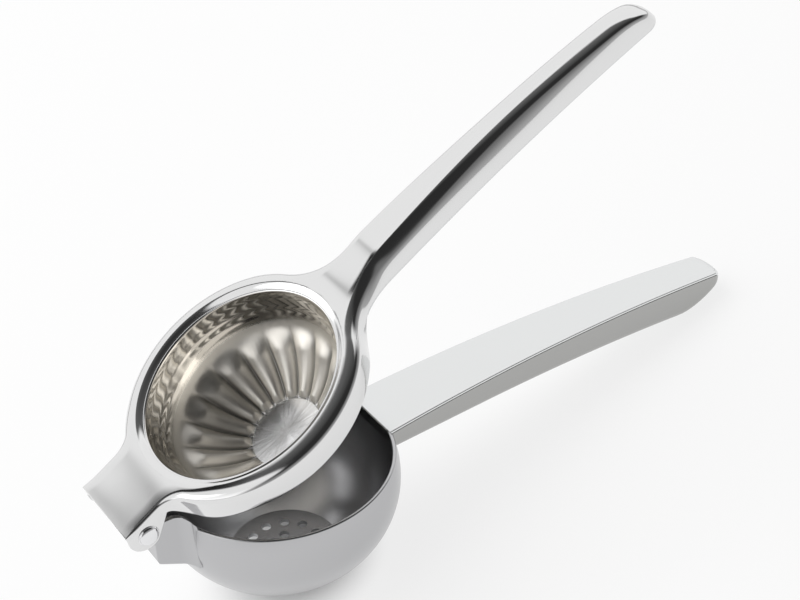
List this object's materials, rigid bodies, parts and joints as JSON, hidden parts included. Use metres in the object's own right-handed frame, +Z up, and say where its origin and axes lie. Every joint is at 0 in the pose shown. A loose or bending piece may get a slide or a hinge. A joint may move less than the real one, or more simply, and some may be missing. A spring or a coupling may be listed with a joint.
{
  "type": "lemon squeezer",
  "caption": "Hinged hand citrus press in stainless steel: a fluted press cup in a ring swings down on a round bowl with a boxed handle.",
  "frame": {"origin": "Centre of the bounding box at the level of the table, with the arms open as in the rest pose", "axes": "+X runs from the hinge to the handle ends, +Z is up, +Y is the far side with the rivet's cap; the hinge axis is parallel to Y"},
  "size_m": [0.2128, 0.0756, 0.1159],
  "materials": {
    "pressed_steel": "fine satin polish",
    "plate_steel": "satin",
    "cup_steel": "bright polish with faint draw lines",
    "bowl_steel": "fine satin polish",
    "rivet_steel": "bright polish"
  },
  "bodies": {
    "lower_arm": {"bowl": "bowl_steel", "lower_handle_shell": "pressed_steel", "lower_handle_plate": "plate_steel", "hinge_spacer": "plate_steel", "hinge_washer_near": "plate_steel", "hinge_washer_far": "plate_steel"},
    "press_arm": {"upper_arm": "pressed_steel", "upper_handle_plate": "plate_steel", "press_cup": "cup_steel", "hinge_pin": "rivet_steel", "hinge_rivet_cap": "rivet_steel"}
  },
  "joints": [
    {"name": "hinge", "type": "hinge", "parent": "lower_arm", "child": "press_arm", "pos_m": [-0.10012, 0, 0.05218], "axis": [0, -1, 0], "range_deg": [-27.6, 112]}
  ]
}
